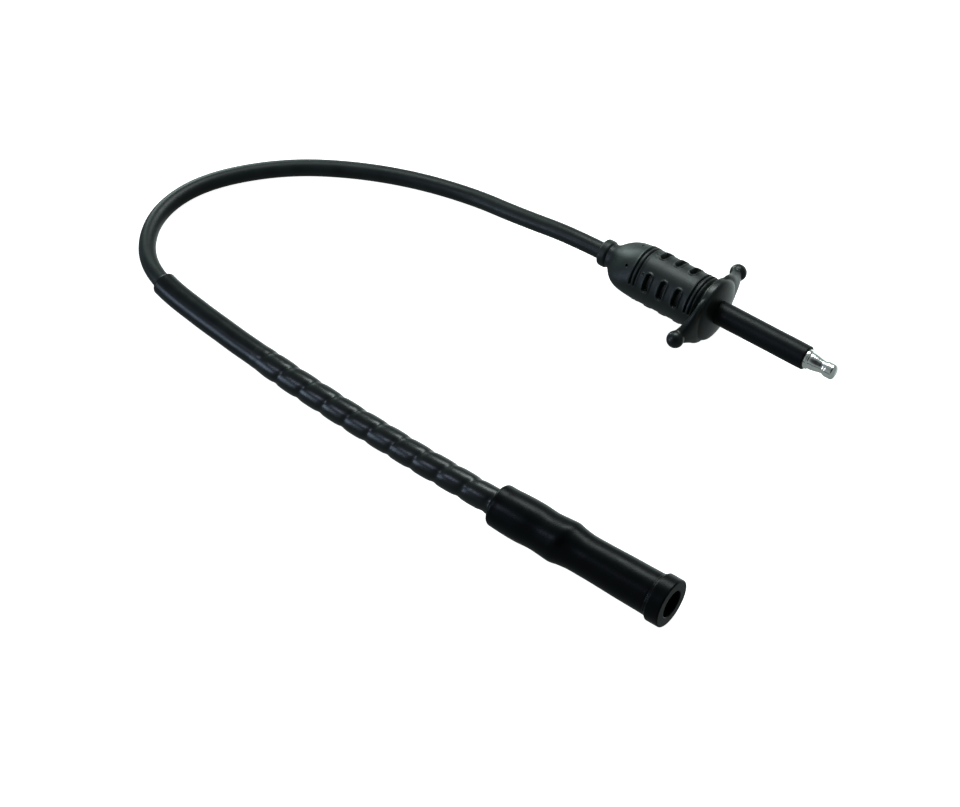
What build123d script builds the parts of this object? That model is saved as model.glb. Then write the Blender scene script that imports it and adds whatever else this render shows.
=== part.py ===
"""Ignition test lead: an insulated coil plug, a 7 mm high-tension lead and a spark-plug boot.

Frame: +Z up from the surface that the lead lies on, +X along the plug's axis towards its metal
tip, origin at the bottom centre of the box around everything but the free lead.
"""
import math
import os

from build123d import *

# --- where the two ends lie ---
PLUG_X = 57.0          # plane through the two ball ends of the guard
PLUG_Y = 55.1
PLUG_Z = 13.0          # the guard rests on the surface
BOOT_X = 48.9          # rear end of the boot
BOOT_Y = -70.5
BOOT_Z = 9.6           # the boot's lip rests on the surface
GAP = 0.04             # radial clearance between pieces that are pushed together

# --- high-tension lead, 7 mm ---
JACKET_R = 3.5
BRAID_R = 2.85
INSULATION_R = 2.6
WINDING_R = 1.25
CORE_R = 0.95
BRAID_STEP = 1.0       # how far each layer is stripped beyond the one over it
INSULATION_STEP = 3.0
WINDING_STEP = 4.5
CORE_STEP = 8.0
BEND_SHARE = 0.45      # share of the shorter run that a bend uses up
LEAD_ROUTE = [
    (24.0, 55.1, 13.0),
    (-4.0, 55.1, 13.0),
    (-33.0, 55.4, 7.4),
    (-56.0, 56.6, 3.5),
    (-81.0, 50.4, 3.5),
    (-105.0, 40.0, 3.5),
    (-126.5, 26.0, 3.5),
    (-143.7, 7.0, 3.5),
    (-152.3, -11.0, 3.5),
    (-152.4, -30.0, 3.5),
    (-142.6, -46.8, 3.8),
    (-126.0, -56.5, 5.4),
    (-101.0, -60.2, 5.3),
    (-73.0, -63.4, 5.6),
    (-41.0, -66.0, 5.6),
    (-8.0, -67.8, 6.3),
    (26.0, -70.5, 9.6),
    (60.0, -70.5, 9.6),
]

# --- covers over the last part of the lead ---
SUPPORT_R = 4.25       # inner tube, over the jacket
SLEEVE_R = 5.02        # smooth shrink sleeve
WRAP_R = 5.45          # spiral wrap
COVER_END = 2.0        # the covers stop this far before the jacket's end in the boot
WRAP_LENGTH = 129.0
SLEEVE_LENGTH = 54.5

# --- plug: stations along its axis, measured from the ball ends towards the tip ---
COLLAR_BACK = -49.0
COLLAR_FRONT = -45.0
SHOULDER = -31.0
GRIP_FRONT = -0.5
COLLAR_R = 5.6
NECK_R = 4.9
GRIP_R = 11.1
COLLAR_EDGE = 1.2
GROOVE_DEPTH = 0.8
GROOVE_WIDTH = 0.9
GROOVE_STATIONS = [-29.3, -27.5, -3.7, -1.9]   # two pairs of narrow rings
SLOT_STATIONS = [-22.4, -15.6, -8.8]
SLOT_WIDTH = 2.0
SLOT_DEPTH = 1.1
SLOT_ROLL = 15.0       # the grip's slots sit this far round from the guard's ears
SLOT_FROM = 22.0       # half of the plain panel between the slots
SLOT_TO = 60.0
PIN_HOLE_STATION = -33.6
PIN_HOLE_R = 0.55
PIN_HOLE_DEPTH = 2.0
PIN_HOLE_ANGLES = [43.0, -30.0]
POCKET_BACK = -30.5    # pocket for the carrier halves
CARRIER_R = 7.5

# --- guard flange with two ball-ended ears ---
HUB_R = 10.3
HUB_FRONT = 1.2
RIM_R = 13.0
RIM_BACK = 1.3
RIM_FRONT = 4.0
DOME_FRONT = 6.3
EAR_REACH = 21.9
BALL_R = 3.15
EAR_ROOT = 9.0
EAR_ROOT_STATION = 2.5
EAR_ROOT_HEIGHT = 18.0
EAR_ROOT_THICK = 3.4
EAR_TIP_HEIGHT = 4.8
EAR_TIP_THICK = 3.4

# --- nose and contact ---
NOSE_R = 4.9
NOSE_SHANK_R = 4.5     # the part inside the guard and the carrier
NOSE_SHOULDER = 6.15
NOSE_BACK = -14.0
NOSE_FRONT = 45.9
NOSE_CHAMFER = 0.5
NOSE_RECESS = 1.0
ROD_R = 2.0
ROD_BACK = -23.0
ROD_FRONT = 54.0
ROD_SHOULDER_R = 3.4
ROD_SHOULDER_BACK = -16.0
TIP_BASE_R = 4.0
TIP_CONE_R = 3.5
TIP_WAIST_R = 2.65
TIP_HEAD_R = 3.175     # 6.35 mm ignition terminal
TIP_BASE_FRONT = 47.2
TIP_CONE_BACK = 48.0
TIP_WAIST = 53.2
TIP_HEAD_BACK = 54.8
TIP_HEAD_FRONT = 57.4
TIP_END = 58.6
CRIMP_R = 2.8
CRIMP_BACK = -28.4
CRIMP_FRONT = -17.5

# --- spark-plug boot: stations along its axis, measured from its rear end ---
BOOT_LENGTH = 77.4
BOOT_REAR_R = 8.55
BOOT_GRIP_R = 8.8
BOOT_WAIST_R = 8.6
BOOT_BULGE_R = 8.9
BOOT_BARREL_R = 8.05
BOOT_SEAM_R = 8.5
LIP_R = 9.6
LIP_LENGTH = 6.3
BOOT_EDGE = 1.6
SOCKET_R = 5.35        # grips the spark plug's insulator
SOCKET_DEPTH = 44.0
CHAMBER_R = 4.6        # holds the snap terminal
ENTRY_DEPTH = 10.0

# --- snap terminal in the boot ---
CLIP_R = 4.0
CLIP_WALL = 0.6
CLIP_BACK = 20.6
CLIP_FRONT = 33.0
CLIP_CRIMP_BACK = 15.6
CLIP_CRIMP_R = 1.9
SPRING_WIRE_R = 0.3
SPRING_STATION = 29.0


def axis_place(x, y, z):
    """Moves a shape drawn along local +X to where its axis lies."""
    return Location((x, y, z))


def turned(points, x, y, z):
    """A solid of revolution from (station, radius) points, about a line along X."""
    face = make_face(Polyline(*points, close=True))
    return axis_place(x, y, z) * revolve(face, Axis.X)


def plug_turned(points):
    return turned(points, PLUG_X, PLUG_Y, PLUG_Z)


def boot_turned(points):
    return turned(points, BOOT_X, BOOT_Y, BOOT_Z)


def corner_radii(points):
    """One bend radius per corner, as large as the two runs beside it allow."""
    radii = []
    for a, b, c in zip(points, points[1:], points[2:]):
        before = Vector(*b) - Vector(*a)
        after = Vector(*c) - Vector(*b)
        half_turn = math.radians(before.get_angle(after) / 2)
        shorter = min(before.length, after.length)
        radii.append(BEND_SHARE * shorter / math.tan(half_turn))
    return radii


LEAD_RADII = corner_radii(LEAD_ROUTE)


def lead_path(extra):
    """The lead's centre line, with both ends made longer by extra."""
    points = list(LEAD_ROUTE)
    x, y, z = points[0]
    points[0] = (x + extra, y, z)
    x, y, z = points[-1]
    points[-1] = (x + extra, y, z)
    return FilletPolyline(*points, radius=LEAD_RADII)


def tube_along(path, outer, inner):
    """A round tube, or a round bar where inner is 0, along a path."""
    section = Circle(outer)
    if inner > 0:
        section -= Circle(inner)
    start = Plane(origin=path @ 0, z_dir=path % 0)
    return sweep(start * section, path=path)


def cover_path(path, from_end, length):
    """The stretch of a path that ends from_end before its end."""
    total = path.length
    return path.trim((total - from_end - length) / total, (total - from_end) / total)


def lead_jacket():
    return tube_along(lead_path(0), JACKET_R, BRAID_R + GAP)


def lead_braid():
    return tube_along(lead_path(BRAID_STEP), BRAID_R, INSULATION_R + GAP)


def lead_insulation():
    return tube_along(lead_path(INSULATION_STEP), INSULATION_R, WINDING_R + GAP)


def lead_winding():
    return tube_along(lead_path(WINDING_STEP), WINDING_R, CORE_R + GAP)


def lead_core():
    return tube_along(lead_path(CORE_STEP), CORE_R, 0)


def support_tube():
    path = cover_path(lead_path(0), COVER_END, WRAP_LENGTH + SLEEVE_LENGTH)
    return tube_along(path, SUPPORT_R, JACKET_R + GAP)


def spiral_wrap():
    path = cover_path(lead_path(0), COVER_END, WRAP_LENGTH)
    return tube_along(path, WRAP_R, SUPPORT_R + GAP)


def shrink_sleeve():
    path = cover_path(lead_path(0), COVER_END + WRAP_LENGTH, SLEEVE_LENGTH)
    return tube_along(path, SLEEVE_R, SUPPORT_R + GAP)


def ring_cutter(station, width, depth):
    """A flat ring that cuts a groove round the grip."""
    outer = Cylinder(GRIP_R + 1, width, rotation=(0, 90, 0))
    inner = Cylinder(GRIP_R - depth, width, rotation=(0, 90, 0))
    return Pos(station, 0, 0) * (outer - inner)


def wedge(start, end):
    """A long sector along X, from start to end degrees round from the top."""
    reach = 2 * GRIP_R
    middle = (start + end) / 2
    corners = [(0, 0)]
    for angle in (start, middle, end):
        corners.append((reach * math.sin(math.radians(angle)), reach * math.cos(math.radians(angle))))
    face = make_face(Polyline(*[(0, -y, z) for y, z in corners], close=True))
    return Pos(COLLAR_BACK, 0, 0) * extrude(face, amount=-COLLAR_BACK, dir=(1, 0, 0))


def slot_sectors():
    """The four sectors that the grooves and slots fill, leaving two plain sides."""
    sectors = []
    for turn in (0, 180):
        middle = SLOT_ROLL + turn
        sectors.append(wedge(middle + SLOT_FROM, middle + SLOT_TO))
        sectors.append(wedge(middle - SLOT_TO, middle - SLOT_FROM))
    return sectors


def grip_blank():
    """The grip's outer form before its grooves, drawn about local X."""
    flare = Spline(
        (COLLAR_FRONT + 0.4, NECK_R),
        (-40.0, 6.9),
        (-36.0, 9.3),
        (SHOULDER, GRIP_R),
        tangents=[(1, 0), (1, 0)],
    )
    back = Polyline(
        (COLLAR_FRONT + 0.4, NECK_R),
        (COLLAR_FRONT, COLLAR_R - 0.3),
        (COLLAR_FRONT - 0.4, COLLAR_R),
        (COLLAR_BACK + COLLAR_EDGE, COLLAR_R),
        (COLLAR_BACK, COLLAR_R - COLLAR_EDGE),
        (COLLAR_BACK, JACKET_R + GAP),
        (POCKET_BACK, JACKET_R + GAP),
        (POCKET_BACK, CARRIER_R + GAP),
        (GRIP_FRONT, CARRIER_R + GAP),
        (GRIP_FRONT, GRIP_R - 0.4),
        (GRIP_FRONT - 0.4, GRIP_R),
        (SHOULDER, GRIP_R),
    )
    return revolve(make_face(flare + back), Axis.X)


def grip_body():
    """The moulded grip: collar, flared neck and grooved barrel, open in front for the carrier."""
    body = grip_blank()
    plain_ends = []
    for turn in (0, 180):
        middle = SLOT_ROLL + turn
        plain_ends.append(wedge(middle - SLOT_TO, middle + SLOT_TO))
    for station in GROOVE_STATIONS:
        ring = ring_cutter(station, GROOVE_WIDTH, GROOVE_DEPTH)
        for sector in plain_ends:
            body -= ring & sector
    for station in SLOT_STATIONS:
        ring = ring_cutter(station, SLOT_WIDTH, SLOT_DEPTH)
        for sector in slot_sectors():
            body -= ring & sector
    for angle in PIN_HOLE_ANGLES:
        hole = Pos(PIN_HOLE_STATION, 0, GRIP_R) * Cylinder(PIN_HOLE_R, 2 * PIN_HOLE_DEPTH)
        body -= Rot(angle, 0, 0) * hole
    return axis_place(PLUG_X, PLUG_Y, PLUG_Z) * body


def carrier_blank():
    """Both carrier halves together, round the crimp, the rod's shoulder and the nose's rear end."""
    return revolve(make_face(Polyline(
        (POCKET_BACK, INSULATION_R + GAP),
        (CRIMP_BACK, INSULATION_R + GAP),
        (CRIMP_BACK, CRIMP_R + GAP),
        (CRIMP_FRONT, CRIMP_R + GAP),
        (CRIMP_FRONT, ROD_R + GAP),
        (ROD_SHOULDER_BACK, ROD_R + GAP),
        (ROD_SHOULDER_BACK, ROD_SHOULDER_R + GAP),
        (NOSE_BACK, ROD_SHOULDER_R + GAP),
        (NOSE_BACK, NOSE_SHANK_R + GAP),
        (GRIP_FRONT, NOSE_SHANK_R + GAP),
        (GRIP_FRONT, CARRIER_R),
        (POCKET_BACK, CARRIER_R),
        close=True,
    )), Axis.X)


def carrier_half(side):
    """One half of the rigid carrier: side is +1 for the upper half and -1 for the lower one."""
    length = GRIP_FRONT - POCKET_BACK
    middle = (GRIP_FRONT + POCKET_BACK) / 2
    height = 2 * CARRIER_R
    box = Pos(middle, 0, side * height / 2) * Box(length + 2, 3 * CARRIER_R, height)
    return axis_place(PLUG_X, PLUG_Y, PLUG_Z) * (carrier_blank() & box)


def ear(side):
    """A tapered ear that ends in a ball."""
    root = Plane(origin=(EAR_ROOT_STATION, side * EAR_ROOT, 0), x_dir=(1, 0, 0), z_dir=(0, side, 0))
    tip = Plane(origin=(0, side * EAR_REACH, 0), x_dir=(1, 0, 0), z_dir=(0, side, 0))
    sections = [
        root * Ellipse(EAR_ROOT_THICK / 2, EAR_ROOT_HEIGHT / 2),
        tip * Ellipse(EAR_TIP_THICK / 2, EAR_TIP_HEIGHT / 2),
    ]
    arm = loft(sections, ruled=True)
    return arm + Pos(0, side * EAR_REACH, 0) * Sphere(BALL_R)


def guard_flange():
    """The domed finger guard in front of the grip, with a ball-ended ear on each side."""
    dome = EllipticalCenterArc((RIM_FRONT, 0), DOME_FRONT - RIM_FRONT, RIM_R, arc_size=90)
    outline = Polyline(
        (RIM_FRONT, RIM_R),
        (RIM_BACK, RIM_R),
        (HUB_FRONT - 0.3, HUB_R),
        (GRIP_FRONT, HUB_R),
        (GRIP_FRONT, 0),
        (DOME_FRONT, 0),
    )
    disc = revolve(make_face(dome + outline), Axis.X)
    guard = disc + ear(1) + ear(-1)
    bore_length = 3 * DOME_FRONT
    guard -= Cylinder(NOSE_SHANK_R + GAP, bore_length, rotation=(0, 90, 0))
    return axis_place(PLUG_X, PLUG_Y, PLUG_Z) * guard


def nose_sleeve():
    """The long insulating tube between the guard and the metal tip."""
    return plug_turned([
        (NOSE_BACK, ROD_R + GAP),
        (NOSE_BACK, NOSE_SHANK_R),
        (NOSE_SHOULDER, NOSE_SHANK_R),
        (NOSE_SHOULDER, NOSE_R),
        (NOSE_FRONT - NOSE_CHAMFER, NOSE_R),
        (NOSE_FRONT, NOSE_R - NOSE_CHAMFER),
        (NOSE_FRONT, TIP_BASE_R + GAP),
        (NOSE_FRONT - NOSE_RECESS, TIP_BASE_R + GAP),
        (NOSE_FRONT - NOSE_RECESS, ROD_R + GAP),
    ])


def contact_rod():
    """The brass rod through the nose, with a shoulder that the carrier holds."""
    return plug_turned([
        (ROD_BACK, 0),
        (ROD_BACK, ROD_R),
        (ROD_SHOULDER_BACK, ROD_R),
        (ROD_SHOULDER_BACK, ROD_SHOULDER_R),
        (NOSE_BACK, ROD_SHOULDER_R),
        (NOSE_BACK, ROD_R),
        (ROD_FRONT, ROD_R),
        (ROD_FRONT, 0),
    ])


def terminal_tip():
    """The plated 6.35 mm ignition terminal, screwed on the end of the rod."""
    return plug_turned([
        (NOSE_FRONT - NOSE_RECESS, ROD_R + GAP),
        (NOSE_FRONT - NOSE_RECESS, TIP_BASE_R),
        (TIP_BASE_FRONT, TIP_BASE_R),
        (TIP_CONE_BACK, TIP_CONE_R),
        (TIP_WAIST, TIP_WAIST_R),
        (TIP_WAIST + 0.6, TIP_WAIST_R),
        (TIP_HEAD_BACK, TIP_HEAD_R),
        (TIP_HEAD_FRONT, TIP_HEAD_R),
        (TIP_END - 0.3, TIP_HEAD_R - 0.7),
        (TIP_END, TIP_HEAD_R - 1.6),
        (TIP_END, 0),
        (ROD_FRONT, 0),
        (ROD_FRONT, ROD_R + GAP),
    ])


def plug_crimp():
    """The ferrule that joins the lead's core to the contact rod."""
    wall_back = LEAD_ROUTE[0][0] + CORE_STEP - PLUG_X
    return plug_turned([
        (CRIMP_BACK, CORE_R + GAP),
        (CRIMP_BACK, CRIMP_R),
        (CRIMP_FRONT, CRIMP_R),
        (CRIMP_FRONT, ROD_R + GAP),
        (ROD_BACK, ROD_R + GAP),
        (ROD_BACK, 0),
        (wall_back, 0),
        (wall_back, CORE_R + GAP),
    ])


def boot():
    """The rubber boot: rounded grip, bulge, barrel and thick lip, with a stepped bore."""
    lip_back = BOOT_LENGTH - LIP_LENGTH
    socket_back = BOOT_LENGTH - SOCKET_DEPTH
    return boot_turned([
        (0, WRAP_R + GAP),
        (0, BOOT_REAR_R - BOOT_EDGE),
        (0.5, BOOT_REAR_R - 0.5),
        (BOOT_EDGE, BOOT_REAR_R),
        (9.0, BOOT_GRIP_R),
        (19.0, BOOT_WAIST_R),
        (25.0, BOOT_BULGE_R),
        (29.0, BOOT_BULGE_R),
        (31.5, BOOT_BARREL_R),
        (lip_back - 1.0, BOOT_SEAM_R),
        (lip_back, LIP_R - 0.5),
        (lip_back + 1.0, LIP_R),
        (BOOT_LENGTH - 1.0, LIP_R),
        (BOOT_LENGTH - 0.3, LIP_R - 0.35),
        (BOOT_LENGTH, LIP_R - 1.0),
        (BOOT_LENGTH, SOCKET_R),
        (socket_back, SOCKET_R),
        (socket_back, CHAMBER_R),
        (ENTRY_DEPTH, CHAMBER_R),
        (ENTRY_DEPTH, WRAP_R + GAP),
    ])


def snap_terminal():
    """The sheet-metal socket in the boot that snaps on a spark plug, crimped on the core."""
    core_end = LEAD_ROUTE[-1][0] + CORE_STEP - BOOT_X
    inside = CLIP_R - CLIP_WALL
    floor_back = core_end + GAP
    return boot_turned([
        (CLIP_CRIMP_BACK, CORE_R + GAP),
        (CLIP_CRIMP_BACK, CLIP_CRIMP_R),
        (CLIP_BACK - CLIP_WALL, CLIP_CRIMP_R),
        (CLIP_BACK, CLIP_R),
        (SPRING_STATION - 2 * SPRING_WIRE_R, CLIP_R),
        (SPRING_STATION - SPRING_WIRE_R, CLIP_R - SPRING_WIRE_R),
        (SPRING_STATION + SPRING_WIRE_R, CLIP_R - SPRING_WIRE_R),
        (SPRING_STATION + 2 * SPRING_WIRE_R, CLIP_R),
        (CLIP_FRONT, CLIP_R),
        (CLIP_FRONT, inside),
        (CLIP_BACK + CLIP_WALL, inside),
        (CLIP_BACK + CLIP_WALL, 0),
        (floor_back, 0),
        (floor_back, CORE_R + GAP),
    ])


def snap_spring():
    """The round wire spring in the snap terminal's groove."""
    ring = Torus(CLIP_R + GAP, SPRING_WIRE_R, rotation=(0, 90, 0))
    return axis_place(BOOT_X + SPRING_STATION, BOOT_Y, BOOT_Z) * ring


def main():
    nodes = {
        "lead_jacket": lead_jacket(),
        "lead_braid": lead_braid(),
        "lead_insulation": lead_insulation(),
        "lead_winding": lead_winding(),
        "lead_core": lead_core(),
        "support_tube": support_tube(),
        "shrink_sleeve": shrink_sleeve(),
        "spiral_wrap": spiral_wrap(),
        "grip_body": grip_body(),
        "carrier_upper": carrier_half(1),
        "carrier_lower": carrier_half(-1),
        "guard_flange": guard_flange(),
        "nose_sleeve": nose_sleeve(),
        "contact_rod": contact_rod(),
        "terminal_tip": terminal_tip(),
        "plug_crimp": plug_crimp(),
        "boot": boot(),
        "snap_terminal": snap_terminal(),
        "snap_spring": snap_spring(),
    }
    os.makedirs("parts", exist_ok=True)
    for name, shape in nodes.items():
        export_step(shape, f"parts/{name}.step")
    length = lead_path(0).length
    section = math.pi * (JACKET_R**2 - (BRAID_R + GAP)**2)
    print("bend radii", [round(r, 1) for r in LEAD_RADII])
    print("lead length", round(length, 1))
    print("jacket volume", round(nodes["lead_jacket"].volume, 1), "section x length", round(section * length, 1))
    everything = Compound([s for n, s in nodes.items() if not n.startswith("lead_")]).bounding_box()
    print("box without the lead", everything.min, everything.max)


main()
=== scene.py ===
"""Looks of the ignition test lead: coil plug, high-tension lead and spark-plug boot.

Lengths are in mm up to the point where a mesh or a curve is made; the lights and the floor are in
m. Along the plug, u is the place on its axis, from the guard's ball ends towards the tip. Along
the boot, b is the place from its rear end. Angles round an axis are in degrees from the top,
positive towards -Y.
"""
import math

import bmesh
import bpy
import numpy as np
from mathutils import Matrix, Vector


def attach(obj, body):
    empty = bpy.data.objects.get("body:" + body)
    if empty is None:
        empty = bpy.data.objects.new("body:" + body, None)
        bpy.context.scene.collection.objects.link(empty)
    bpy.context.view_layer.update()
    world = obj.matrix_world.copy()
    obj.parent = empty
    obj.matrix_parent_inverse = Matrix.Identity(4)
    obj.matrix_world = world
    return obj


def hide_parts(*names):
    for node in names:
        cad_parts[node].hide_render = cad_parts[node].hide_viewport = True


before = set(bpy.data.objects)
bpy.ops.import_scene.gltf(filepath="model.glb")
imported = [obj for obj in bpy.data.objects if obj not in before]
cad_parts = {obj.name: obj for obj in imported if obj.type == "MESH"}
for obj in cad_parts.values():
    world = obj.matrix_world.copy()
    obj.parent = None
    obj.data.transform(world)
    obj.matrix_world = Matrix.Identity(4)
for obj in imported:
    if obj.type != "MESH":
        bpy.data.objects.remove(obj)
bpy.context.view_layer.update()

MM = 0.001
BODY = "root"
SHARP_ANGLE = 50.0          # edges bent more than this are shaded as sharp
MERGE_DISTANCE = 1e-7       # m
DEGENERATE_LENGTH = 1e-8    # m

# --- where things lie, as in the CAD model ---
PLUG = (57.0, 55.1, 13.0)
BOOT = (48.9, -70.5, 9.6)
GAP = 0.04
LEAD_ROUTE = [
    (24.0, 55.1, 13.0),
    (-4.0, 55.1, 13.0),
    (-33.0, 55.4, 7.4),
    (-56.0, 56.6, 3.5),
    (-81.0, 50.4, 3.5),
    (-105.0, 40.0, 3.5),
    (-126.5, 26.0, 3.5),
    (-143.7, 7.0, 3.5),
    (-152.3, -11.0, 3.5),
    (-152.4, -30.0, 3.5),
    (-142.6, -46.8, 3.8),
    (-126.0, -56.5, 5.4),
    (-101.0, -60.2, 5.3),
    (-73.0, -63.4, 5.6),
    (-41.0, -66.0, 5.6),
    (-8.0, -67.8, 6.3),
    (26.0, -70.5, 9.6),
    (60.0, -70.5, 9.6),
]

# --- lead and its covers; the starts and the end are distances back from the route's end ---
LEAD_R = 3.5
LEAD_RESOLUTION = 24
ROUTE_RESOLUTION = 64       # finer than the lead, so the covers are smooth along it
SUPPORT_R = 4.25
SUPPORT_INSET = 0.3         # the support tube starts this far inside the sleeve
SLEEVE_R = 5.02
WRAP_R = 5.45
COVER_END = 2.0
WRAP_LENGTH = 129.0
SLEEVE_LENGTH = 54.5
WRAP_START = COVER_END + WRAP_LENGTH
SLEEVE_START = WRAP_START + SLEEVE_LENGTH
SLEEVE_EDGE = 0.5
SLEEVE_WAVE = 0.04
SLEEVE_WAVE_RUN = 3.1       # mm along for each radian of the wave
SLEEVE_WAVE_TWIST = 17
WRAP_PITCH = 11.4
WRAP_CROWN = 0.2            # how far each turn swells between its grooves
WRAP_GROOVE = 0.26          # depth of the wrap's spiral groove
WRAP_GROOVE_SHARE = 0.13    # its half width, as a share of the pitch
WRAP_STEP = 9.0             # the wrap's first stretch rises from the sleeve's radius
WRAP_SINK = 0.05            # keeps the swelling wrap within its radius
WRAP_SWELL = 0.04
WRAP_SWELL_RUN = 5.3        # mm along for each radian of the swell

# --- grip ---
GRIP_R = 11.1
GRIP_BACK = -49.0
GRIP_FRONT = -0.5
GRIP_FRONT_EDGE = 0.5
GRIP_FINENESS = 0.24
GRIP_AROUND = 300
COLLAR_R = 5.6
COLLAR_EDGE = 1.2
COLLAR_FRONT = -45.0
# the flare is flatter where the panels are, and square-shouldered at its sides
FACE_FLARE = [
    (-45.1, 4.9),
    (-43.0, 5.0),
    (-40.0, 6.1),
    (-38.0, 7.2),
    (-36.0, 8.4),
    (-33.0, 9.9),
    (-31.0, 10.7),
    (-29.9, 11.1),
]
SIDE_FLARE = [
    (-45.1, 4.9),
    (-43.5, 5.4),
    (-42.0, 7.2),
    (-40.0, 9.0),
    (-38.0, 10.1),
    (-36.0, 10.7),
    (-33.0, 11.05),
    (-29.9, 11.1),
]
POCKET_BACK = -30.5
POCKET_R = 7.54
PANEL_ROLL = 15.0           # degrees from the top to the panel's middle
RING_STATIONS = [-29.3, -27.5, -3.7, -1.9]
RING_REACH = 60.0           # degrees to each side of the panel's middle
RING_WIDTH = 1.05
RING_DEPTH = 0.8
RING_WALL = 0.35            # width of the slope into a cut
RING_LIP = (0.2, 0.3)       # height and width of the raised edge round a cut
SLOT_STATIONS = [-22.4, -15.6, -8.8]
SLOT_MIDDLE = 41.0          # degrees from the panel's middle
SLOT_REACH = 20.5           # degrees to each side of the slot's own middle
SLOT_WIDTH = 2.7
SLOT_DEPTH = 1.8
SLOT_WALL = 0.5
SLOT_LIP = (0.35, 0.35)
MARK_STATION = -25.1
MARK_ANGLES = [-27.0, 28.0]     # degrees from the panel's middle
MARK_R = 0.6
MARK_RIDGE = 0.25
MARK_RIDGE_WIDTH = 0.2
MARK_DEPTH = 0.2
MARK_WALL = 0.3
PIN_HOLES = [(-33.6, 43.0), (-33.6, -30.0)]     # place and angle
PIN_HOLE_R = 0.7
PIN_HOLE_DEPTH = 1.2
PIN_HOLE_WALL = 0.35

# --- guard ---
EAR_SQUARE = 0.7            # 1 is a round section, less is squarer
EAR_RINGS = 24
EAR_AROUND = 36
HUB_R = 10.3
HOLLOW_R = 0.8              # rounding of the hollow between the rim and the grip
GUARD_BORE_R = 4.2          # inside the nose's shank, so that the two meet
GUARD_BACK = -0.45
RIM_R = 13.0
RIM_BACK = 1.9
RIM_TAPER = 0.1
RIM_FRONT_EDGE = 0.45
RIM_BACK_EDGE = 0.5
DOME_FRONT = 6.35
DOME_BACK = 4.05
EAR_REACH = 21.9
BALL_R = 3.45
GUARD_VOXEL = 0.22
GUARD_SMOOTHING = 14
# distance out along the ear, its middle u, half its thickness, half its height
EAR = [
    (6.5, 2.7, 1.7, 11.3),
    (10.0, 2.65, 1.8, 10.3),
    (13.0, 2.4, 2.0, 8.3),
    (15.5, 1.8, 2.2, 6.1),
    (18.0, 1.1, 2.3, 4.3),
    (20.0, 0.4, 2.3, 3.2),
    (21.9, 0.0, 2.2, 2.8),
]

# --- nose and tip ---
NOSE_R = 4.9
NOSE_SHANK_R = 4.5
NOSE_BACK = -14.0
NOSE_SHOULDER = 6.15
NOSE_FRONT = 45.9
NOSE_RECESS = 1.0
NOSE_ROOT = 1.2             # runs this far back from its shoulder, into the guard's dome
NOSE_EDGE = 0.5
NOSE_MOUTH_EDGE = 0.15
NOSE_WAVE = 0.02
ROD_R = 2.0
ROD_FRONT = 54.0
TIP_R = 4.0
TIP_HEAD_R = 3.175
TIP_WAIST_R = 2.65
TIP_BASE_FRONT = 46.9
TIP_BASE_EDGE = 0.3
TIP_BASE_R = TIP_R - 0.02
TIP_HEAD_BACK = 54.9
TIP_HEAD_FRONT = 57.4
TIP_HEAD_EDGE = 0.9
TIP_END = 58.6
TIP_WAIST = [
    (47.6, 3.5),
    (48.3, 3.48),
    (50.0, 3.25),
    (52.0, 2.85),
    (53.2, TIP_WAIST_R),
    (53.8, TIP_WAIST_R + 0.02),
    (54.4, 2.95),
    (TIP_HEAD_BACK, TIP_HEAD_R),
]

# --- boot ---
BOOT_LENGTH = 77.4
BOOT_PROFILE = [
    (1.6, 8.45),
    (6.0, 8.7),
    (13.0, 8.8),
    (20.0, 8.45),
    (25.0, 8.75),
    (28.5, 8.9),
    (31.5, 8.35),
    (35.0, 7.95),
    (42.0, 7.95),
    (55.0, 8.15),
    (70.0, 8.45),
]
BULGE_SHIFT = 3.5           # the bulge sits this much further forward on one side
BULGE_SIDE = -55.0          # the angle of that side
BOOT_EDGE = 1.6
BOOT_FINENESS = 0.35
BOOT_WAVE = 0.06
BOOT_SEAM = 70.1
SEAM_WANDER = 0.12
SEAM_DEPTH = 0.16
SEAM_WIDTH = 0.22
FLASH_HEIGHT = 0.14
FLASH_WIDTH = 0.25
FLASH_SHIFT = 0.3
LIP_R = 9.6
LIP_BACK = 71.3
LIP_BACK_EDGE = 0.7
LIP_FRONT_EDGE = 0.55
SOCKET_EDGE = 0.4
SOCKET_R = 5.35
SOCKET_BACK = 33.4
CHAMBER_R = 4.6
ENTRY_DEPTH = 10.0

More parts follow.
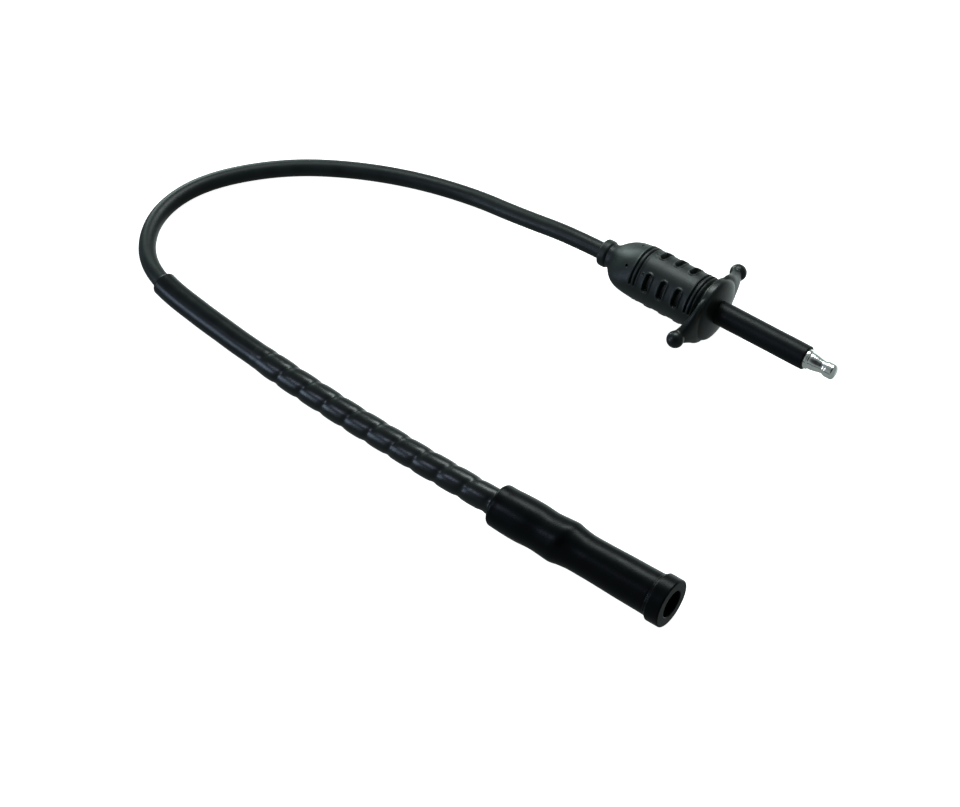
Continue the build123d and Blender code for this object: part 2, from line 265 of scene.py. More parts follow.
# --- black polymers: each wanders between two shades and between two roughnesses ---
POLYMERS = {
    "lead_jacket": {
        "dark": (0.0045, 0.0066, 0.0064),
        "light": (0.009, 0.0125, 0.012),
        "rough": (0.38, 0.48),
        "grain": 0.35,
        "grain_depth": 0.012,
        "dust": 0.3,
        "specular": 0.24,
    },
    "shrink_tube": {
        "dark": (0.002, 0.003, 0.0036),
        "light": (0.004, 0.006, 0.007),
        "rough": (0.28, 0.36),
        "grain": 0.6,
        "grain_depth": 0.01,
        "specular": 0.2,
    },
    "wrap_skin": {
        "dark": (0.003, 0.0042, 0.0046),
        "light": (0.005, 0.007, 0.0076),
        "rough": (0.27, 0.35),
        "grain": 0.8,
        "grain_depth": 0.015,
        "specular": 0.28,
    },
    "grip_plastic": {
        "dark": (0.005, 0.0076, 0.0073),
        "light": (0.009, 0.0128, 0.012),
        "rough": (0.4, 0.5),
        "grain": 0.22,
        "grain_depth": 0.022,
        "dust": 0.2,
        "worn": (0.04, 0.052, 0.05),
        "specular": 0.3,
    },
    "guard_plastic": {
        "dark": (0.0035, 0.0052, 0.005),
        "light": (0.007, 0.0098, 0.0092),
        "rough": (0.3, 0.4),
        "grain": 0.4,
        "grain_depth": 0.008,
        "specular": 0.28,
    },
    "nose_plastic": {
        "dark": (0.002, 0.003, 0.0038),
        "light": (0.004, 0.005, 0.0062),
        "rough": (0.38, 0.48),
        "grain": 0.25,
        "grain_depth": 0.02,
        "specular": 0.13,
    },
    "boot_rubber": {
        "dark": (0.001, 0.0015, 0.0018),
        "light": (0.0022, 0.0032, 0.0036),
        "rough": (0.28, 0.38),
        "grain": 0.3,
        "grain_depth": 0.014,
        "dust": 0.2,
        "worn": (0.014, 0.019, 0.021),
        "specular": 0.085,
    },
}
SUPPORT_COLOUR = (0.012, 0.013, 0.014)
CARRIER_COLOUR = (0.02, 0.021, 0.022)
DUST_COLOUR = (0.3, 0.31, 0.3)
NOISE_ROUGHNESS = 0.55

# --- metals: colour, tarnish, lowest and highest roughness, distance between turning rings ---
METALS = {
    "nickel": ((0.97, 0.97, 0.96), (0.86, 0.85, 0.83), (0.08, 0.24), 0.08),
    "brass": ((0.72, 0.5, 0.2), (0.5, 0.33, 0.13), (0.2, 0.38), 0.1),
    "spring_steel": ((0.55, 0.55, 0.56), (0.38, 0.37, 0.36), (0.2, 0.4), 0.1),
    "clip_nickel": ((0.8, 0.79, 0.76), (0.6, 0.58, 0.54), (0.15, 0.32), 0.1),
}
RING_STRETCH = 40
RING_RELIEF = 0.004

# --- light and floor, in m ---
# direction of the middle, degrees where it is fully dark or bright, degrees where it ends
TENT_OPENING = ((0.39, -0.53, 0.755), 22.0, 48.0)
BACKDROP = ((-0.06, 0.92, -0.36), 15.0, 42.0)
BACKDROP_STRENGTH = 1.1
TENT_STRENGTH = 0.25
TENT_DARK = 0.02
WORLD_COLOUR = (0.86, 1.0, 0.98, 1)
# name, place, the place it faces, its two sizes, power in W, colour
LIGHTS = [
    ("back_light", (-0.09, 0.28, 0.46), (0.05, -0.02, 0), (0.34, 0.16), 2.4, (0.88, 1.0, 0.98)),
    ("fill_light", (-0.3, -0.44, 0.42), (-0.06, -0.065, 0), (0.14, 0.1), 0.7, (0.66, 0.74, 1.0)),
    ("low_light", (-0.37, -0.38, 0.07), (-0.13, -0.05, 0), (0.22, 0.14), 0.8, (0.6, 0.76, 1.0)),
    ("left_light", (-0.85, 0.5, 0.2), (0.02, 0.055, 0), (0.4, 0.3), 3.6, (0.8, 1.0, 0.94)),
]
FLOOR_HALF = 4.0
FLOOR_GLOW = 0.97
FLOOR_SHADES = ((0.78, 0.78, 0.78), (0.82, 0.82, 0.82))

# --- camera ---
VIEW_AZIMUTH = 36.6
VIEW_ELEVATION = 49.0
VIEW_DISTANCE = 1160.0
VIEW_TARGET = Vector((9.7, -28.4, 0.0))
LENS = 114.0
SENSOR_WIDTH = 36.0
CLIP_START = 0.05           # m


# ---------------------------------------------------------------- curves and outlines

def eased(places, table):
    """A smooth curve through the (place, value) pairs of a table, read at places."""
    knots, values = np.array(table, float).T
    slopes = np.gradient(values, knots)
    k = np.clip(np.searchsorted(knots, places) - 1, 0, len(knots) - 2)
    gap = knots[k + 1] - knots[k]
    t = np.clip((places - knots[k]) / gap, 0, 1)
    start = (1 + 2 * t) * (1 - t) ** 2 * values[k] + t * (1 - t) ** 2 * gap * slopes[k]
    end = t * t * (3 - 2 * t) * values[k + 1] - t * t * (1 - t) * gap * slopes[k + 1]
    return start + end


def ramp(x, low, high):
    """0 below low, 1 above high, smooth between."""
    t = np.clip((x - low) / (high - low), 0, 1)
    return t * t * (3 - 2 * t)


def arc(u, r, radius, start, end, steps=8):
    """Outline points on an arc about (u, r), from start to end degrees."""
    angles = np.radians(np.linspace(start, end, steps + 1))
    return [(u + radius * math.cos(a), r + radius * math.sin(a)) for a in angles]


def line(start, end, step):
    """Outline points on a straight run, both ends included."""
    count = max(1, round(math.dist(start, end) / step))
    return [tuple(p) for p in np.linspace(start, end, count + 1)]


def drawn(table, step):
    """Outline points on the smooth curve through a table."""
    places = np.arange(table[0][0], table[-1][0], step)
    return list(zip(places, eased(places, table)))


# ---------------------------------------------------------------- meshes

def new_piece(name, mesh, material, slot, *nodes):
    """Puts a mesh in the scene as a piece on the body, in place of CAD nodes."""
    piece = bpy.data.objects.new(name, mesh)
    bpy.context.scene.collection.objects.link(piece)
    mesh.materials.clear()
    mesh.materials.append(material)
    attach(piece, BODY)
    if nodes:
        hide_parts(*nodes)
    return piece


def clean_mesh(name, points, faces):
    """A smooth-shaded mesh with its doubled points merged and its normals outward."""
    mesh = bpy.data.meshes.new(name)
    mesh.from_pydata([tuple(p) for p in points], [], faces)
    shape = bmesh.new()
    shape.from_mesh(mesh)
    bmesh.ops.remove_doubles(shape, verts=shape.verts, dist=MERGE_DISTANCE)
    bmesh.ops.dissolve_degenerate(shape, edges=shape.edges, dist=DEGENERATE_LENGTH)
    bmesh.ops.recalc_face_normals(shape, faces=shape.faces)
    for face in shape.faces:
        face.smooth = True
    shape.to_mesh(mesh)
    shape.free()
    mesh.set_sharp_from_angle(angle=math.radians(SHARP_ANGLE))
    return mesh


def ring_faces(rings, around, closed):
    """Quads between rings of points; closed joins the last ring to the first."""
    faces = []
    for i in range(rings if closed else rings - 1):
        here = i * around
        there = (i + 1) % rings * around
        for j in range(around):
            k = (j + 1) % around
            faces.append((here + j, here + k, there + k, there + j))
    return faces


def turned(name, outline, centre, around, relief=None):
    """A closed skin of revolution about a line along X through centre.

    outline is a closed run of (place, radius). relief, if given, takes places, radii and angles
    as arrays and gives the height to add to each point's radius.
    """
    places, radii = np.array(outline, float).T
    angles = np.radians(np.arange(around) * 360 / around)
    u = np.repeat(places[:, None], around, axis=1)
    r = np.repeat(radii[:, None], around, axis=1)
    a = np.repeat(angles[None, :], len(places), axis=0)
    if relief:
        r = r + relief(u, r, np.degrees(a))
    points = np.stack([u, -r * np.sin(a), r * np.cos(a)], axis=-1).reshape(-1, 3)
    points = (points + np.array(centre)) * MM
    return clean_mesh(name, points, ring_faces(len(places), around, True))


def route_points(lead):
    """The lead's own centre line as finely as its covers need it, in mm, and the length along it."""
    bare = lead.data.copy()
    bare.bevel_depth = 0
    bare.resolution_u = ROUTE_RESOLUTION
    holder = bpy.data.objects.new("bare_route", bare)
    mesh = bpy.data.meshes.new_from_object(holder)
    points = np.array([v.co[:] for v in mesh.vertices]) / MM
    bpy.data.objects.remove(holder)
    bpy.data.curves.remove(bare)
    bpy.data.meshes.remove(mesh)
    runs = np.linalg.norm(np.diff(points, axis=0), axis=1)
    return points, np.concatenate([[0.0], np.cumsum(runs)])


def cover(name, route, start, end, inner, radius, around):
    """A tube along the route from start to end, in mm from the route's end backwards.

    radius takes the distance from the route's end and the angles round it, in degrees. The tube
    starts and ends at the route's nearest points, so two covers that meet share a ring.
    """
    points, along = route
    back = along[-1] - along
    tangents = np.gradient(points, axis=0)
    tangents /= np.linalg.norm(tangents, axis=1)[:, None]
    first, last = (int(np.argmin(np.abs(back - place))) for place in (start, end))
    angles = np.arange(around) * 360 / around
    outer_rings = []
    inner_rings = []
    for i in range(first, last + 1):
        side = np.cross(tangents[i], (0, 0, 1))
        side /= np.linalg.norm(side)
        up = np.cross(side, tangents[i])
        turn = np.radians(angles)[:, None]
        way = np.cos(turn) * up + np.sin(turn) * side
        outer_rings.append(points[i] + way * radius(back[i], angles)[:, None])
        inner_rings.append(points[i] + way * inner)
    rings = outer_rings + inner_rings[::-1]
    mesh_points = np.concatenate(rings) * MM
    return clean_mesh(name, mesh_points, ring_faces(len(rings), around, True))


def remeshed(mesh, voxel, rounds):
    """One even skin round overlapping closed shapes, with its inner corners softened."""
    holder = bpy.data.objects.new("holder", mesh)
    bpy.context.scene.collection.objects.link(holder)
    remesh = holder.modifiers.new("remesh", "REMESH")
    remesh.mode = "VOXEL"
    remesh.voxel_size = voxel * MM
    smooth = holder.modifiers.new("smooth", "SMOOTH")
    smooth.factor = 0.5
    smooth.iterations = rounds
    bpy.context.view_layer.update()
    seen = holder.evaluated_get(bpy.context.evaluated_depsgraph_get())
    skin = bpy.data.meshes.new_from_object(seen)
    bpy.data.objects.remove(holder)
    for polygon in skin.polygons:
        polygon.use_smooth = True
    return skin


# ---------------------------------------------------------------- materials

class Look:
    """A node material that is put together one property at a time."""

    def __init__(self, name, roughness, metallic=0.0, specular=0.5):
        self.material = bpy.data.materials.new(name)
        self.material.use_nodes = True
        self.tree = self.material.node_tree
        self.shader = self.tree.nodes["Principled BSDF"]
        self.shader.inputs["Roughness"].default_value = roughness
        self.shader.inputs["Metallic"].default_value = metallic
        self.shader.inputs["Specular IOR Level"].default_value = specular
        self.place = self.tree.nodes.new("ShaderNodeTexCoord").outputs["Object"]

    def node(self, kind, **settings):
        made = self.tree.nodes.new(kind)
        for key, value in settings.items():
            setattr(made, key, value)
        return made

    def link(self, source, socket):
        self.tree.links.new(source, socket)

    def stretched(self, scale):
        mapping = self.node("ShaderNodeMapping")
        mapping.inputs["Scale"].default_value = scale
        self.link(self.place, mapping.inputs["Vector"])
        return mapping.outputs["Vector"]

    def noise(self, size, detail=4.0, stretch=(1, 1, 1)):
        """Noise whose features are about size mm across."""
        noise = self.node("ShaderNodeTexNoise")
        noise.inputs["Scale"].default_value = 1 / (size * MM)
        noise.inputs["Detail"].default_value = detail
        noise.inputs["Roughness"].default_value = NOISE_ROUGHNESS
        self.link(self.stretched(stretch), noise.inputs["Vector"])
        return noise.outputs["Fac"]

    def spots(self, size):
        """Distance to the nearest of many scattered points, size mm apart."""
        cells = self.node("ShaderNodeTexVoronoi")
        cells.inputs["Scale"].default_value = 1 / (size * MM)
        self.link(self.place, cells.inputs["Vector"])
        return cells.outputs["Distance"]

    def spread(self, source, low, high, start=0.0, end=1.0):
        """source from low..high brought to start..end."""
        scale = self.node("ShaderNodeMapRange")
        scale.inputs["From Min"].default_value = low
        scale.inputs["From Max"].default_value = high
        scale.inputs["To Min"].default_value = start
        scale.inputs["To Max"].default_value = end
        self.link(source, scale.inputs["Value"])
        return scale.outputs["Result"]

    def times(self, a, b):
        product = self.node("ShaderNodeMath", operation="MULTIPLY")
        self.link(a, product.inputs[0])
        if isinstance(b, float):
            product.inputs[1].default_value = b
        else:
            self.link(b, product.inputs[1])
        return product.outputs["Value"]

    def plus(self, a, b):
        total = self.node("ShaderNodeMath", operation="ADD")
        self.link(a, total.inputs[0])
        self.link(b, total.inputs[1])
        return total.outputs["Value"]

    def blend(self, amount, first, second):
        """first where amount is 0 and second where it is 1; each a colour or a socket."""
        mix = self.node("ShaderNodeMix", data_type="RGBA")
        self.link(amount, mix.inputs["Factor"])
        for colour, socket in ((first, mix.inputs["A"]), (second, mix.inputs["B"])):
            if isinstance(colour, tuple):
                socket.default_value = (*colour, 1)
            else:
                self.link(colour, socket)
        return mix.outputs["Result"]

    def edges(self, low, high):
        """1 on worn outer edges, 0 on flat and hollow places."""
        geometry = self.node("ShaderNodeNewGeometry")
        return self.spread(geometry.outputs["Pointiness"], low, high)

    def colour(self, source):
        self.link(source, self.shader.inputs["Base Color"])

    def roughness(self, source):
        self.link(source, self.shader.inputs["Roughness"])

    def bump(self, height, depth):
        """Relief depth mm high."""
        bump = self.node("ShaderNodeBump")
        bump.inputs["Distance"].default_value = depth * MM
        self.link(height, bump.inputs["Height"])
        self.link(bump.outputs["Normal"], self.shader.inputs["Normal"])


def polymer(name, dark, light, rough, grain, grain_depth, dust=0.0, worn=None, specular=0.5):
    """A black moulded or extruded polymer.

    dark and light are the colours it wanders between, rough its lowest and highest roughness,
    grain and grain_depth the size and height of its surface texture in mm, dust how strong its
    pale specks are, and worn the colour of its rubbed edges.
    """
    look = Look(name, rough[0], specular=specular)
    cloud = look.spread(look.noise(9.0), 0.35, 0.65)
    colour = look.blend(cloud, dark, light)
    fine = look.noise(grain, detail=3.0)
    if worn:
        rub = look.times(look.edges(0.52, 0.6), look.spread(look.noise(1.6), 0.35, 0.7))
        colour = look.blend(rub, colour, worn)
    if dust:
        speck = look.spread(look.spots(1.9), 0.05, 0.0)
        colour = look.blend(look.times(speck, dust), colour, DUST_COLOUR)
    look.colour(colour)
    wander = look.plus(look.times(look.noise(4.0), 0.6), look.times(fine, 0.4))
    look.roughness(look.spread(wander, 0.35, 0.65, rough[0], rough[1]))
    coarse = look.times(look.noise(3.0 * grain, detail=2.0), 0.7)
    look.bump(look.plus(fine, coarse), grain_depth)
    return look.material


def black_look(name):
    return polymer(name, **POLYMERS[name])


def metal(name):
    """Turned and plated metal with fine rings across its axis."""
    colour, tarnish, rough, ridge = METALS[name]
    look = Look(name, rough[0], metallic=1.0)
    cloud = look.spread(look.noise(1.8), 0.45, 0.8)
    look.colour(look.blend(cloud, colour, tarnish))
    rings = look.noise(ridge * RING_STRETCH, stretch=(RING_STRETCH, 1, 1))
    smear = look.noise(1.2, detail=5.0)
    look.roughness(look.spread(look.plus(rings, smear), 0.7, 1.3, rough[0], rough[1]))
    look.bump(rings, RING_RELIEF)
    return look.material


def inner_look(name, colour):
    """A plain dark polymer for the pieces inside."""
    shade = tuple(0.6 * c for c in colour)
    return polymer(name, shade, colour, rough=(0.4, 0.6), grain=0.4, grain_depth=0.01)


# ---------------------------------------------------------------- the lead and its covers

def make_lead():
    """The lead as one smooth curve through the whole route."""
    curve = bpy.data.curves.new("lead", "CURVE")
    curve.dimensions = "3D"
    curve.resolution_u = LEAD_RESOLUTION
    curve.bevel_depth = LEAD_R * MM
    curve.bevel_resolution = 10
    curve.use_fill_caps = True
    spline = curve.splines.new("NURBS")
    spline.points.add(len(LEAD_ROUTE) - 1)
    for point, place in zip(spline.points, LEAD_ROUTE):
        point.co = (*(Vector(place) * MM), 1.0)
    spline.order_u = 3
    spline.use_endpoint_u = True
    curve.materials.append(black_look("lead_jacket"))
    lead = bpy.data.objects.new("lead", curve)
    bpy.context.scene.collection.objects.link(lead)
    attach(lead, BODY)
    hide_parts("lead_jacket", "lead_braid", "lead_insulation", "lead_winding", "lead_core")
    return lead


def sleeve_radius(back, angles):
    """The smooth sleeve: rounded at its cut end, barely uneven along it."""
    inside = min(SLEEVE_START - back, SLEEVE_EDGE)
    drop = SLEEVE_EDGE - math.sqrt(max(0.0, SLEEVE_EDGE ** 2 - (SLEEVE_EDGE - inside) ** 2))
    twist = np.cos(np.radians(angles) - back / SLEEVE_WAVE_TWIST)
    wave = SLEEVE_WAVE * math.sin(back / SLEEVE_WAVE_RUN) * twist
    return SLEEVE_R - SLEEVE_WAVE - drop + wave


def wrap_radius(back, angles):
    """The spiral wrap: rounded turns with a shallow groove between them, left-handed."""
    turn = (-back / WRAP_PITCH + angles / 360) % 1
    from_groove = np.minimum(turn, 1 - turn)
    groove = WRAP_GROOVE * np.exp(-(from_groove / WRAP_GROOVE_SHARE) ** 2)
    rise = ramp(np.array(WRAP_START - back), 0.0, WRAP_STEP)
    crown = SLEEVE_R + (WRAP_R - SLEEVE_R) * rise
    swell = WRAP_SWELL * np.sin(back / WRAP_SWELL_RUN + np.radians(angles))
    sink = groove + WRAP_SINK + swell + WRAP_CROWN * (1 - 2 * from_groove) ** 2
    return crown - sink * rise


def support_radius(back, angles):
    return np.full(len(angles), SUPPORT_R)


def make_covers(lead):
    """The support tube, and over it the smooth sleeve and the wrap, end to end."""
    route = route_points(lead)
    inner = SUPPORT_R + GAP
    support = cover("sleeve_support", route, SLEEVE_START - SUPPORT_INSET, COVER_END, LEAD_R + GAP,
                    support_radius, 48)
    new_piece("sleeve_support", support, inner_look("support_tube", SUPPORT_COLOUR),
              "support_tube", "support_tube")
    sleeve = cover("smooth_sleeve", route, SLEEVE_START, WRAP_START, inner, sleeve_radius, 96)
    new_piece("smooth_sleeve", sleeve, black_look("shrink_tube"), "shrink_tube", "shrink_sleeve")
    wrap = cover("wrap_cover", route, WRAP_START, COVER_END, inner, wrap_radius, 96)
    new_piece("wrap_cover", wrap, black_look("wrap_skin"), "wrap_skin", "spiral_wrap")


# ---------------------------------------------------------------- the plug

def turned_from(angles, middle):
    """Angles as measured from middle, between -180 and 180."""
    return (angles - middle + 180) % 360 - 180


def run_from(angles, middle, r):
    """Length round the surface from middle, at radius r."""
    return turned_from(angles, middle) * math.pi / 180 * r


def groove_distance(u, angles, station, middle, reach, width):
    """Distance from a round-ended groove across the grip: below 0 inside it."""
    across = np.abs(run_from(angles, middle, GRIP_R))
    half_run = reach * math.pi / 180 * GRIP_R - width / 2
    return np.hypot(u - station, np.maximum(across - half_run, 0)) - width / 2


def sunk(distance, depth, wall):
    """A cut with a sloping wall inside the line where distance is 0."""
    return -depth * ramp(-distance, 0.0, wall)


def lipped(distance, height, width):
    """A low rounded lip just outside the line where distance is 0."""
    return height * np.exp(-((distance - 0.6 * width) / width) ** 2)


def grip_relief(u, r, angles):
    """Rings, slots and marks, the same on both broad sides, two pin holes, and the flare's sides."""
    outer = np.where(u < POCKET_BACK, r > LEAD_R + 1, r > POCKET_R + 1)
    height = np.zeros_like(u)
    for side in (0, 180):
        middle = PANEL_ROLL + side
        nearest = np.full_like(u, np.inf)
        for station in RING_STATIONS:
            ring = groove_distance(u, angles, station, middle, RING_REACH, RING_WIDTH)
            height += sunk(ring, RING_DEPTH, RING_WALL)
            nearest = np.minimum(nearest, ring)
        height += lipped(nearest, *RING_LIP)
        for station in SLOT_STATIONS:
            for way in (-1, 1):
                slot = groove_distance(u, angles, station, middle + way * SLOT_MIDDLE,
                                       SLOT_REACH, SLOT_WIDTH)
                height += sunk(slot, SLOT_DEPTH, SLOT_WALL) + lipped(slot, *SLOT_LIP)
        for offset in MARK_ANGLES:
            across = run_from(angles, middle + offset, GRIP_R)
            mark = np.hypot(u - MARK_STATION, across) - MARK_R
            ridge = MARK_RIDGE * np.exp(-(mark / MARK_RIDGE_WIDTH) ** 2)
            height += ridge + sunk(mark, MARK_DEPTH, MARK_WALL)
    for station, angle in PIN_HOLES:
        across = run_from(angles, angle, r)
        hole = np.hypot(u - station, across) - PIN_HOLE_R
        height += sunk(hole, PIN_HOLE_DEPTH, PIN_HOLE_WALL)
    flared = (u > FACE_FLARE[0][0]) & (u < FACE_FLARE[-1][0])
    sideways = np.sin(np.radians(angles - PANEL_ROLL)) ** 4
    height += np.where(flared, sideways * (eased(u, SIDE_FLARE) - eased(u, FACE_FLARE)), 0.0)
    return np.where(outer, height, 0.0)


def make_grip():
    """The grip: collar, flared neck, and a barrel that is hollow in front of its rear wall."""
    back = GRIP_BACK
    edge = COLLAR_EDGE
    front_edge = GRIP_FRONT_EDGE
    outline = arc(back + edge, COLLAR_R - edge, edge, 180, 90)
    outline += arc(COLLAR_FRONT - edge, COLLAR_R - edge, edge, 90, 25)
    outline += drawn(FACE_FLARE, GRIP_FINENESS)
    outline += line((FACE_FLARE[-1][0], GRIP_R), (GRIP_FRONT - front_edge, GRIP_R), GRIP_FINENESS)[1:]
    outline += arc(GRIP_FRONT - front_edge, GRIP_R - front_edge, front_edge, 90, 0, 5)
    outline += [
        (GRIP_FRONT, POCKET_R),
        (POCKET_BACK, POCKET_R),
        (POCKET_BACK, LEAD_R + GAP),
        (back, LEAD_R + GAP),
    ]
    mesh = turned("grip_moulding", outline, PLUG, GRIP_AROUND, grip_relief)
    new_piece("grip_moulding", mesh, black_look("grip_plastic"), "grip_plastic", "grip_body")


def ear_points(side):
    """An ear's rings of points, square-shouldered, from inside the dome to inside its ball."""
    points = []
    distances = np.linspace(EAR[0][0], EAR[-1][0], EAR_RINGS)
    middles, thick, high = (eased(distances, [(row[0], row[k]) for row in EAR]) for k in (1, 2, 3))
    turn = np.arange(EAR_AROUND) * 2 * math.pi / EAR_AROUND
    for y, u, t, h in zip(distances, middles, thick, high):
        for c, s in zip(np.cos(turn), np.sin(turn)):
            across = math.copysign(abs(c) ** EAR_SQUARE, c)
            upward = math.copysign(abs(s) ** EAR_SQUARE, s)
            points.append((u + t * across, side * y, h * upward))
    return points


def guard_outline():
    """Dome, rim, and the polished hollow between the rim and the grip."""
    depth = DOME_FRONT - DOME_BACK
    outline = [(DOME_BACK + depth * math.cos(a), RIM_R * math.sin(a))
               for a in np.radians(np.linspace(19, 78, 20))]
    outline += arc(DOME_BACK - 0.3, RIM_R - RIM_FRONT_EDGE, RIM_FRONT_EDGE, 35, 90, 5)
    outline += line((DOME_BACK - 0.5, RIM_R), (RIM_BACK, RIM_R - RIM_TAPER), 0.4)
    outline += arc(RIM_BACK - 0.15, RIM_R - RIM_TAPER - RIM_BACK_EDGE, RIM_BACK_EDGE, 95, 170, 6)
    outline += arc(0.4, HUB_R + HOLLOW_R, HOLLOW_R, -15, -165, 12)
    outline += [(GUARD_BACK, HUB_R + 0.75), (GUARD_BACK, GUARD_BORE_R)]
    outline += [(outline[0][0], GUARD_BORE_R)]
    return outline


def make_guard():
    """Dome, ears and balls run into each other as one moulding."""
    dome = turned("dome", guard_outline(), (0, 0, 0), 200)
    shape = bmesh.new()
    shape.from_mesh(dome)
    for side in (-1, 1):
        verts = [shape.verts.new(Vector(p) * MM) for p in ear_points(side)]
        for face in ring_faces(EAR_RINGS, EAR_AROUND, False):
            shape.faces.new([verts[k] for k in face])
        shape.faces.new(verts[:EAR_AROUND])
        shape.faces.new(verts[-EAR_AROUND:])
        ball = bmesh.ops.create_uvsphere(shape, u_segments=48, v_segments=32, radius=BALL_R * MM)
        bmesh.ops.translate(shape, verts=ball["verts"], vec=Vector((0, side * EAR_REACH, 0)) * MM)
    bmesh.ops.recalc_face_normals(shape, faces=shape.faces)
    joined = bpy.data.meshes.new("guard_blank")
    shape.to_mesh(joined)
    shape.free()
    skin = remeshed(joined, GUARD_VOXEL, GUARD_SMOOTHING)
    skin.transform(Matrix.Translation(Vector(PLUG) * MM))
    new_piece("guard_moulding", skin, black_look("guard_plastic"), "guard_plastic", "guard_flange")


def nose_relief(u, r, angles):
    """The tube's skin is barely uneven in front of the guard."""
    skin = (r > NOSE_R - 0.01) & (u > NOSE_SHOULDER + 1)
    wave = NOSE_WAVE * np.sin(u / 2.7) * np.sin(np.radians(2 * angles) + u / 11)
    return np.where(skin, wave - NOSE_WAVE, 0)


def make_nose():
    """The insulating tube, with its shank through the guard and the tip's recess at its mouth."""
    edge = NOSE_EDGE
    small = NOSE_MOUTH_EDGE
    mouth = TIP_R + GAP
    root = NOSE_SHOULDER - NOSE_ROOT
    outline = [(NOSE_BACK, NOSE_SHANK_R), (root, NOSE_SHANK_R), (root, NOSE_R)]
    outline += line((root, NOSE_R), (NOSE_FRONT - edge, NOSE_R), 0.8)[1:]
    outline += arc(NOSE_FRONT - edge, NOSE_R - edge, edge, 90, 0, 6)[1:]
    outline += arc(NOSE_FRONT - small, mouth + small, small, 0, -90, 3)
    outline += [
        (NOSE_FRONT - NOSE_RECESS, mouth),
        (NOSE_FRONT - NOSE_RECESS, ROD_R + GAP),
        (NOSE_BACK, ROD_R + GAP),
    ]
    mesh = turned("nose_tube", outline, PLUG, 120, nose_relief)
    new_piece("nose_tube", mesh, black_look("nose_plastic"), "nose_plastic", "nose_sleeve")


def make_tip():
    """The plated terminal: base ring, cone, waist and rounded head."""
    back = NOSE_FRONT - NOSE_RECESS
    base_edge = TIP_BASE_EDGE
    head_edge = TIP_HEAD_EDGE
    outline = [(back, ROD_R + GAP), (back, TIP_BASE_R)]
    outline += line((back, TIP_BASE_R), (TIP_BASE_FRONT, TIP_BASE_R), 0.5)[1:]
    outline += arc(TIP_BASE_FRONT, TIP_BASE_R - base_edge, base_edge, 90, 20, 4)[1:]
    outline += drawn(TIP_WAIST, 0.15)
    outline += line((TIP_HEAD_BACK, TIP_HEAD_R), (TIP_HEAD_FRONT, TIP_HEAD_R), 0.3)
    outline += arc(TIP_HEAD_FRONT, TIP_HEAD_R - head_edge, head_edge, 90, 20, 7)[1:]
    outline += [(TIP_END - 0.08, 1.9), (TIP_END, 1.2), (TIP_END, 0.0)]
    outline += [(ROD_FRONT, 0.0), (ROD_FRONT, ROD_R + GAP)]
    mesh = turned("tip_metal", outline, PLUG, 96)
    new_piece("tip_metal", mesh, metal("nickel"), "nickel", "terminal_tip")


# ---------------------------------------------------------------- the boot

def boot_relief(b, r, angles):
    """Seam with specks of flash before the lip, lopsided bulge, and a soft unevenness all along."""
    back, front = BOOT_PROFILE[0][0], BOOT_PROFILE[-1][0]
    outer = r > 0.5 * (SOCKET_R + BOOT_PROFILE[0][1])
    seam = b - BOOT_SEAM - SEAM_WANDER * np.sin(np.radians(3 * angles))
    height = -SEAM_DEPTH * np.exp(-(seam / SEAM_WIDTH) ** 2)
    ripple = np.sin(np.radians(13 * angles)) + 0.8 * np.sin(np.radians(29 * angles + 40))
    specks = np.clip(ripple, 0.5, 2) - 0.5
    height += FLASH_HEIGHT * specks * np.exp(-((seam - FLASH_SHIFT) / FLASH_WIDTH) ** 2)
    shift = BULGE_SHIFT * (1 + np.cos(np.radians(angles - BULGE_SIDE))) / 2
    moved = eased(np.clip(b - shift, back, None), BOOT_PROFILE) - eased(b, BOOT_PROFILE)
    height += np.where((b > back) & (b < front), moved, 0.0)
    body = ramp(b, 3.0, 8.0) * (1 - ramp(b, 66.0, 70.0))
    height += body * BOOT_WAVE * np.sin(b / 4.3 + 0.6) * np.cos(np.radians(2 * angles) + b / 21)
    return np.where(outer, height, 0.0)


def make_boot():
    """The rubber boot, with its thick lip, its socket and the chambers behind it."""
    edge = BOOT_EDGE
    lip_back = LIP_BACK_EDGE
    lip_front = LIP_FRONT_EDGE
    entry = WRAP_R + GAP
    outline = arc(edge, BOOT_PROFILE[0][1] - edge, edge, 180, 90, 9)
    outline += drawn(BOOT_PROFILE, BOOT_FINENESS)[1:]
    outline += line((BOOT_SEAM, 8.5), (LIP_BACK - 0.5, 8.55), 0.12)
    outline += [(LIP_BACK - 0.2, 8.75), (LIP_BACK, 9.1)]
    outline += arc(LIP_BACK + lip_back, LIP_R - lip_back, lip_back, 155, 90, 6)
    outline += line((LIP_BACK + lip_back, LIP_R), (BOOT_LENGTH - 1.0, LIP_R), BOOT_FINENESS)[1:]
    outline += arc(BOOT_LENGTH - lip_front, LIP_R - lip_front, lip_front, 90, 0, 6)
    outline += line((BOOT_LENGTH, LIP_R - 0.6), (BOOT_LENGTH, SOCKET_R + 0.5), 0.5)
    outline += arc(BOOT_LENGTH - SOCKET_EDGE, SOCKET_R + SOCKET_EDGE, SOCKET_EDGE, 0, -90, 5)
    outline += line((BOOT_LENGTH - SOCKET_EDGE, SOCKET_R), (SOCKET_BACK, SOCKET_R), 1.5)[1:]
    outline += [
        (SOCKET_BACK, CHAMBER_R),
        (ENTRY_DEPTH, CHAMBER_R),
        (ENTRY_DEPTH, entry),
        (0.4, entry),
        (0.0, entry + 0.4),
    ]
    mesh = turned("boot_moulding", outline, BOOT, 180, boot_relief)
    new_piece("boot_moulding", mesh, black_look("boot_rubber"), "boot_rubber", "boot")


# ---------------------------------------------------------------- what stays as the CAD has it

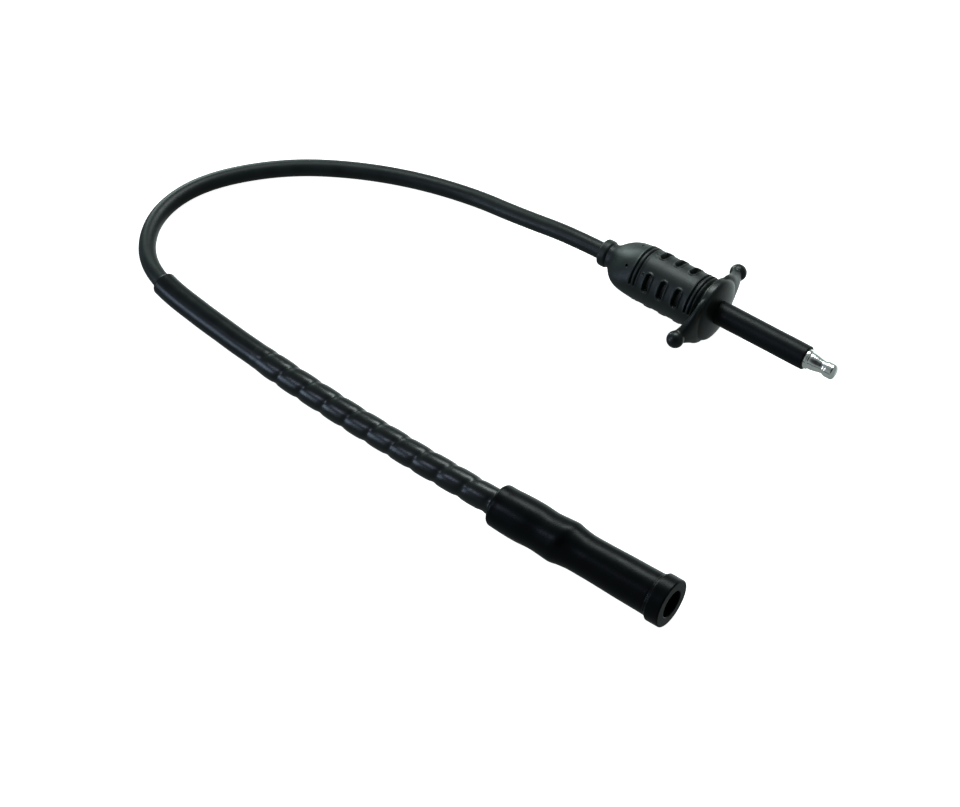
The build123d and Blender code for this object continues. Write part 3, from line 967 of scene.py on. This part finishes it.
def finish_inner_pieces():
    """Materials for the CAD pieces that still show inside the plug and the boot."""
    carrier = inner_look("carrier_plastic", CARRIER_COLOUR)
    brass = metal("brass")
    steel = metal("spring_steel")
    plated = metal("clip_nickel")
    looks = {
        "carrier_upper": carrier,
        "carrier_lower": carrier,
        "contact_rod": brass,
        "plug_crimp": brass,
        "snap_terminal": plated,
        "snap_spring": steel,
    }
    for node, look in looks.items():
        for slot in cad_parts[node].material_slots:
            slot.material = look


# ---------------------------------------------------------------- camera, floor and light

def make_camera():
    azimuth = math.radians(VIEW_AZIMUTH)
    elevation = math.radians(VIEW_ELEVATION)
    back = Vector((
        math.sin(azimuth) * math.cos(elevation),
        -math.cos(azimuth) * math.cos(elevation),
        math.sin(elevation),
    ))
    data = bpy.data.cameras.new("camera")
    data.lens = LENS
    data.sensor_width = SENSOR_WIDTH
    data.clip_start = CLIP_START
    camera = bpy.data.objects.new("camera", data)
    camera.location = (VIEW_TARGET + back * VIEW_DISTANCE) * MM
    camera.rotation_euler = back.to_track_quat("Z", "Y").to_euler()
    bpy.context.scene.collection.objects.link(camera)
    bpy.context.scene.camera = camera


def make_floor():
    """A glowing white floor that neither lights the object nor shows in its reflections."""
    mesh = bpy.data.meshes.new("floor")
    s = FLOOR_HALF
    mesh.from_pydata([(-s, -s, 0), (s, -s, 0), (s, s, 0), (-s, s, 0)], [], [(0, 1, 2, 3)])
    floor = bpy.data.objects.new("floor", mesh)
    bpy.context.scene.collection.objects.link(floor)
    look = Look("floor", 0.9, specular=0.1)
    look.colour(look.blend(look.noise(300.0), *FLOOR_SHADES))
    look.shader.inputs["Emission Color"].default_value = (1, 1, 1, 1)
    look.shader.inputs["Emission Strength"].default_value = FLOOR_GLOW
    mesh.materials.append(look.material)
    floor.visible_diffuse = False
    floor.visible_glossy = False


def softbox(name, place, target, size, power, colour):
    """A soft light that the camera does not see."""
    data = bpy.data.lights.new(name, "AREA")
    data.shape = "RECTANGLE"
    data.size, data.size_y = size
    data.energy = power
    data.color = colour
    light = bpy.data.objects.new(name, data)
    light.location = place
    way = Vector(place) - Vector(target)
    light.rotation_euler = way.to_track_quat("Z", "Y").to_euler()
    light.visible_camera = False
    bpy.context.scene.collection.objects.link(light)


def make_light():
    """A dim world with a dark opening in front and a low bright patch behind, and soft lights."""
    world = bpy.data.worlds.new("world")
    world.use_nodes = True
    tree = world.node_tree
    background = tree.nodes["Background"]
    direction = tree.nodes.new("ShaderNodeTexCoord").outputs["Generated"]

    def around(middle, inner, outer, low, high):
        """high within inner degrees of a direction, low beyond outer degrees of it."""
        facing = tree.nodes.new("ShaderNodeVectorMath")
        facing.operation = "DOT_PRODUCT"
        facing.inputs[1].default_value = Vector(middle).normalized()
        tree.links.new(direction, facing.inputs[0])
        patch = tree.nodes.new("ShaderNodeMapRange")
        patch.interpolation_type = "SMOOTHSTEP"
        patch.inputs["From Min"].default_value = math.cos(math.radians(outer))
        patch.inputs["From Max"].default_value = math.cos(math.radians(inner))
        patch.inputs["To Min"].default_value = low
        patch.inputs["To Max"].default_value = high
        tree.links.new(facing.outputs["Value"], patch.inputs["Value"])
        return patch.outputs["Result"]

    total = tree.nodes.new("ShaderNodeMath")
    total.operation = "ADD"
    tree.links.new(around(*TENT_OPENING, TENT_STRENGTH, TENT_DARK), total.inputs[0])
    tree.links.new(around(*BACKDROP, 0.0, BACKDROP_STRENGTH), total.inputs[1])
    tree.links.new(total.outputs["Value"], background.inputs["Strength"])
    background.inputs["Color"].default_value = WORLD_COLOUR
    bpy.context.scene.world = world
    for light in LIGHTS:
        softbox(*light)
    bpy.context.scene.view_settings.view_transform = "Standard"


make_camera()
lead = make_lead()
make_covers(lead)
make_grip()
make_guard()
make_nose()
make_tip()
make_boot()
finish_inner_pieces()
make_floor()
make_light()
